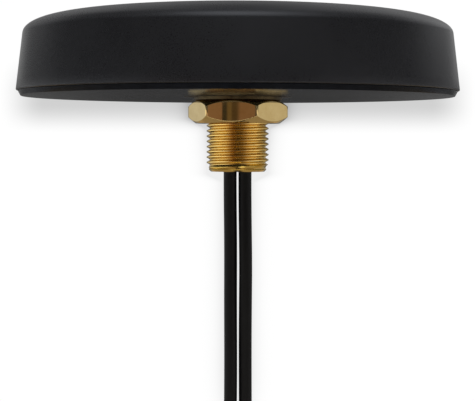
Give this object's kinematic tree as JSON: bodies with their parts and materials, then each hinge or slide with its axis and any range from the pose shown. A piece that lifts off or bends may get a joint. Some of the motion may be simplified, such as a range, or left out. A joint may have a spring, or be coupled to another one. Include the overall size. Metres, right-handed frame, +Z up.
{
  "type": "screw-mount gnss antenna",
  "caption": "Low round satellite-positioning and cellular antenna on a hollow threaded stud with hex nut and lock washer, and coaxial leads that end in screw-on RF plugs.",
  "frame": {"origin": "on the stud's axis, in the plane where the gasket meets the mounting panel", "axes": "+Z up, away from the panel, along the stud's axis; +X towards the cellular lead; +Y towards where that lead's cable runs inside the housing"},
  "size_m": [0.084, 0.084, 0.112],
  "materials": {
    "housing_plastic": "fine-textured black moulding, UV stable",
    "gasket_rubber": "smooth black closed-cell rubber",
    "seal_rubber": "smooth dark brown O-ring cord",
    "screw_steel": "zinc plated",
    "brass": "turned, fine machining marks",
    "potting_resin": "cured potting resin",
    "plated_brass": "pale bright plating over brass",
    "circuit_board": "green solder mask",
    "tape": "foam adhesive tape",
    "patch_ceramic": "unglazed dielectric ceramic",
    "silver": "silver plate",
    "tin": "tin plate",
    "chip_plastic": "moulded epoxy",
    "chip_ceramic": "chip ceramic",
    "spring_brass": "stamped spring strip",
    "carrier_plastic": "natural moulding",
    "clamp_plastic": "moulded nylon",
    "cable_jacket": "smooth extruded jacket",
    "copper_braid": "woven copper wire",
    "ptfe": "white PTFE",
    "heat_shrink": "shrunk polyolefin sleeve",
    "gold_plate": "bright gold plate",
    "silicone": "red silicone"
  },
  "bodies": {
    "housing": {"cover": "housing_plastic", "base_plate": "housing_plastic", "gasket": "gasket_rubber", "cover_seal": "seal_rubber", "housing_screws": "screw_steel", "stud": "brass", "stud_seal": "seal_rubber", "grommet": "gasket_rubber", "potting": "potting_resin", "board": "circuit_board", "board_screws": "screw_steel", "patch_tape": "tape", "patch_ceramic": "patch_ceramic", "patch_electrode": "silver", "feed_pin": "tin", "lna_shield": "tin", "lna_components": "chip_plastic", "matching_components": "chip_ceramic", "radiator": "spring_brass", "radiator_carrier": "carrier_plastic", "cable_clamps": "clamp_plastic", "clamp_screws": "screw_steel", "ground_clips": "tin", "gnss_cable": "cable_jacket", "cell_cable": "cable_jacket", "coax_braids": "copper_braid", "coax_dielectrics": "ptfe", "coax_conductors": "silver", "solder_joints": "tin"},
    "washer": {"lock_washer": "plated_brass"},
    "nut": {"hex_nut": "plated_brass"},
    "gnss_lead_end": {"gnss_lead": "cable_jacket", "gnss_boot": "heat_shrink", "gnss_ferrule": "gold_plate", "gnss_plug_body": "gold_plate", "gnss_insulator": "ptfe", "gnss_contact": "gold_plate", "gnss_face_seal": "silicone"},
    "gnss_coupling": {"gnss_coupling_nut": "gold_plate", "gnss_retaining_ring": "spring_brass"},
    "cell_lead_end": {"cell_lead": "cable_jacket", "cell_boot": "heat_shrink", "cell_ferrule": "gold_plate", "cell_plug_body": "gold_plate", "cell_insulator": "ptfe", "cell_contact": "gold_plate", "cell_face_seal": "silicone"},
    "cell_coupling": {"cell_coupling_nut": "gold_plate", "cell_retaining_ring": "spring_brass"}
  },
  "joints": [
    {"name": "washer_slide", "type": "slide", "parent": "housing", "child": "washer", "axis": [0, 0, -1], "range_m": [0, 0.009]},
    {"name": "nut_spin", "type": "hinge", "parent": "washer", "child": "nut", "pos_m": [0, 0, 0], "axis": [0, 0, -1], "range_deg": [0, 3240]},
    {"name": "gnss_lead_bend", "type": "hinge", "parent": "housing", "child": "gnss_lead_end", "pos_m": [0, 0, -0.027], "axis": [1, 0, 0], "range_deg": [-60, 60]},
    {"name": "cell_lead_bend", "type": "hinge", "parent": "housing", "child": "cell_lead_end", "pos_m": [0, 0, -0.027], "axis": [1, 0, 0], "range_deg": [-60, 60]},
    {"name": "gnss_plug_spin", "type": "hinge", "parent": "gnss_lead_end", "child": "gnss_coupling", "pos_m": [-0.00622, 0, -0.09], "axis": [0, 0, -1], "continuous": true},
    {"name": "cell_plug_spin", "type": "hinge", "parent": "cell_lead_end", "child": "cell_coupling", "pos_m": [0.00622, 0, -0.09], "axis": [0, 0, -1], "continuous": true}
  ],
  "couplings": [
    {"joint": "nut_spin", "follows": "washer_slide", "rad_per_m": 6283.2}
  ]
}
